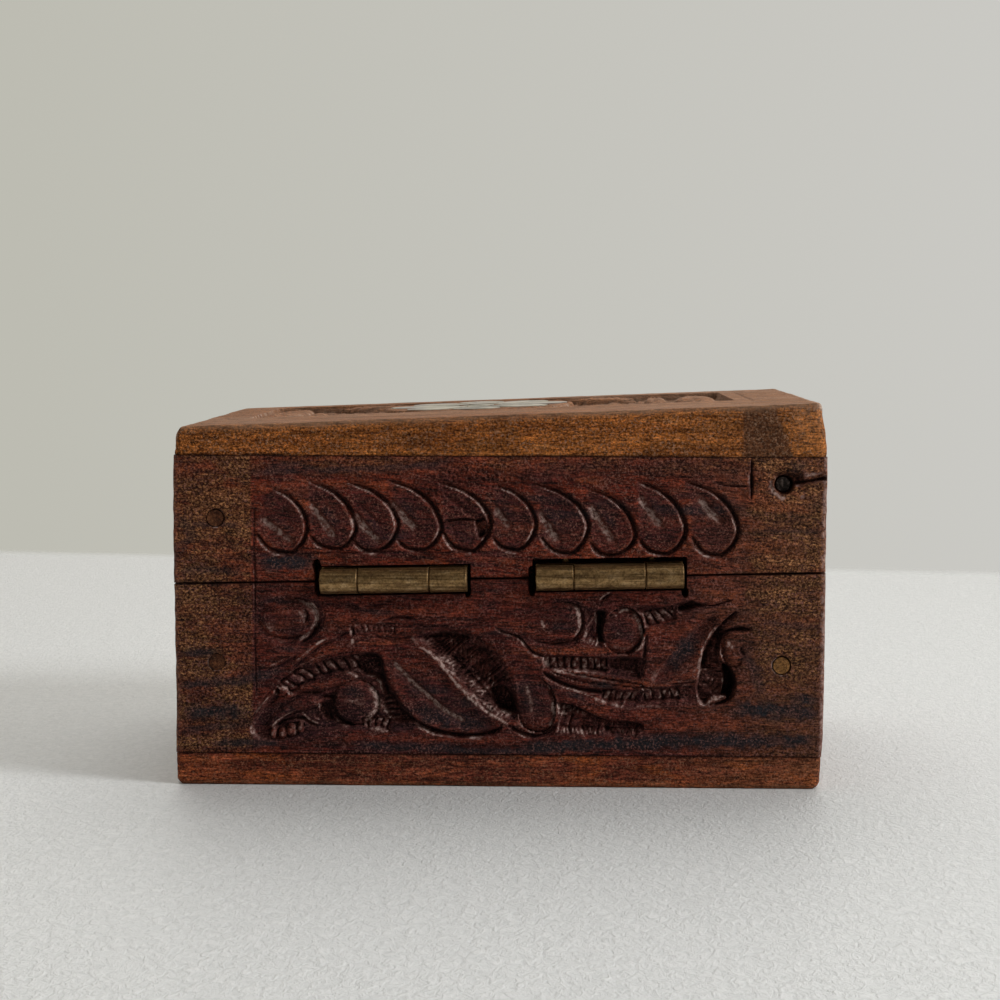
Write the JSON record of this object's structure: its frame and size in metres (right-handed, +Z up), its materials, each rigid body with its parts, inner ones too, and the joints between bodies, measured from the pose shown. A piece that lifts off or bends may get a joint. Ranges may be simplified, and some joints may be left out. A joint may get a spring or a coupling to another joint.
{
  "type": "keepsake box",
  "caption": "Small oblong wooden keepsake box with leaf-carved walls and a tapering lid on brass butt hinges, with a shell rosette let into the top.",
  "frame": {"origin": "on the surface the box stands on, under the middle of the box's width and of its boards' depth", "axes": "+X along the box's length to its right-hand end, as seen from the front; +Y towards the rear wall, which carries the hinges; +Z up"},
  "size_m": [0.112, 0.0724, 0.0665],
  "materials": {
    "carved_wood": "satin",
    "lid_wood": "satin",
    "bottom_wood": "satin",
    "plug_wood": "matte",
    "hinge_brass": "satin",
    "nail_iron": "matte",
    "shell": "gloss"
  },
  "bodies": {
    "base": {"base_bottom_board": "bottom_wood", "base_front_wall": "carved_wood", "base_rear_wall": "carved_wood", "base_left_wall": "carved_wood", "base_right_wall": "carved_wood", "base_corner_nails": "nail_iron", "base_nail_plugs": "plug_wood", "base_bottom_nails": "nail_iron", "left_hinge_base_leaf": "hinge_brass", "left_hinge_pin": "hinge_brass", "left_hinge_base_screws": "hinge_brass", "right_hinge_base_leaf": "hinge_brass", "right_hinge_pin": "hinge_brass", "right_hinge_base_screws": "hinge_brass"},
    "lid": {"lid_top_board": "lid_wood", "lid_front_wall": "carved_wood", "lid_rear_wall": "carved_wood", "lid_left_wall": "carved_wood", "lid_right_wall": "carved_wood", "lid_corner_nails": "nail_iron", "lid_nail_plugs": "plug_wood", "lid_inlay_petals": "shell", "lid_inlay_centre": "shell", "left_hinge_lid_leaf": "hinge_brass", "left_hinge_lid_screws": "hinge_brass", "right_hinge_lid_leaf": "hinge_brass", "right_hinge_lid_screws": "hinge_brass"}
  },
  "joints": [
    {"name": "lid_hinge", "type": "hinge", "parent": "base", "child": "lid", "pos_m": [0, 0.0353, 0.0363], "axis": [-0.9998, 0, 0.0214], "range_deg": [0, 175]}
  ]
}
